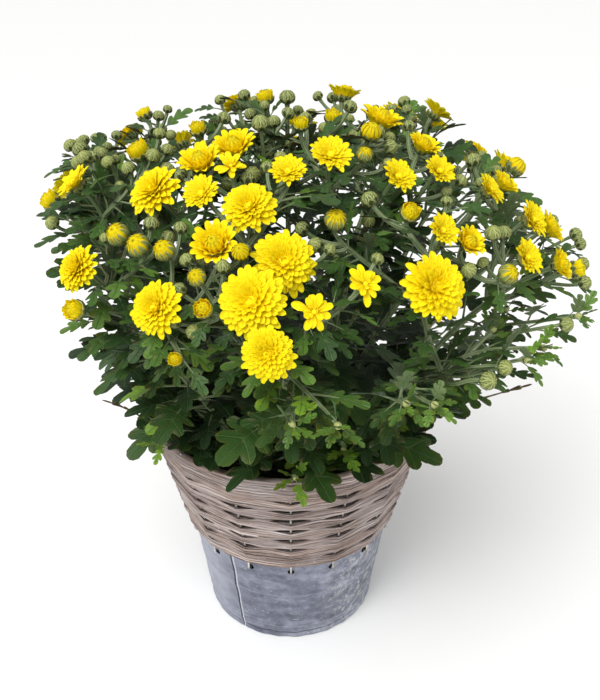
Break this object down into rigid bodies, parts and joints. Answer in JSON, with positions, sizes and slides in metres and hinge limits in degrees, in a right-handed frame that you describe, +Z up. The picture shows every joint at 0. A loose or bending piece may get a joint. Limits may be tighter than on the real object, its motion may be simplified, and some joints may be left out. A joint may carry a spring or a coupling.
{
  "type": "pot chrysanthemum",
  "caption": "Bushy flowering pot chrysanthemum: a dome of yellow blooms and green buds over lobed leaves, in a zinc bucket with a woven willow collar.",
  "frame": {"origin": "centre of the bucket's flat underside, on the surface that the pot stands on", "axes": "+Z up; -Y is the side that faces the viewer; +X is to the viewer's right"},
  "size_m": [0.3809, 0.3971, 0.4226],
  "materials": {
    "zinc": "matte",
    "wire": "satin",
    "dark_plastic": "matte",
    "soil": "matte",
    "willow": "matte",
    "plant_green": "satin",
    "petal_yellow": "matte"
  },
  "bodies": {
    "root": {"bucket": "zinc", "wire_frame": "wire", "growing_pot": "dark_plastic", "soil": "soil", "willow_row_1": "willow", "willow_row_2": "willow", "willow_row_3": "willow", "willow_row_4": "willow", "willow_row_5": "willow", "willow_row_6": "willow", "willow_row_7": "willow", "willow_rim_wrap": "willow", "leafy_stem_01": "plant_green", "leafy_stem_02": "plant_green", "leafy_stem_03": "plant_green", "leafy_stem_04": "plant_green", "leafy_stem_05": "plant_green", "leafy_stem_06": "plant_green", "leafy_stem_07": "plant_green", "leafy_stem_08": "plant_green", "leafy_stem_09": "plant_green", "leafy_stem_10": "plant_green", "leafy_stem_11": "plant_green", "leafy_stem_12": "plant_green", "leafy_stem_13": "plant_green", "leafy_stem_14": "plant_green", "leafy_stem_15": "plant_green", "leafy_stem_16": "plant_green", "leafy_stem_17": "plant_green", "leafy_stem_18": "plant_green", "bloom_01": "petal_yellow", "bloom_02": "petal_yellow", "bloom_03": "petal_yellow", "bloom_04": "petal_yellow", "bloom_05": "petal_yellow", "bloom_06": "petal_yellow", "bloom_07": "petal_yellow", "bloom_08": "petal_yellow", "bloom_09": "petal_yellow", "bloom_10": "petal_yellow", "bloom_11": "petal_yellow", "bloom_12": "petal_yellow", "bloom_13": "petal_yellow", "bloom_14": "petal_yellow", "bloom_15": "petal_yellow", "bloom_16": "petal_yellow", "bloom_17": "petal_yellow", "bloom_18": "petal_yellow", "bloom_19": "petal_yellow", "bloom_20": "petal_yellow", "bloom_21": "petal_yellow", "bloom_22": "petal_yellow", "bloom_23": "petal_yellow", "bloom_24": "petal_yellow", "bloom_25": "petal_yellow", "bloom_26": "petal_yellow", "bloom_27": "petal_yellow", "bloom_28": "petal_yellow", "bloom_29": "petal_yellow", "bloom_30": "petal_yellow"}
  },
  "joints": []
}
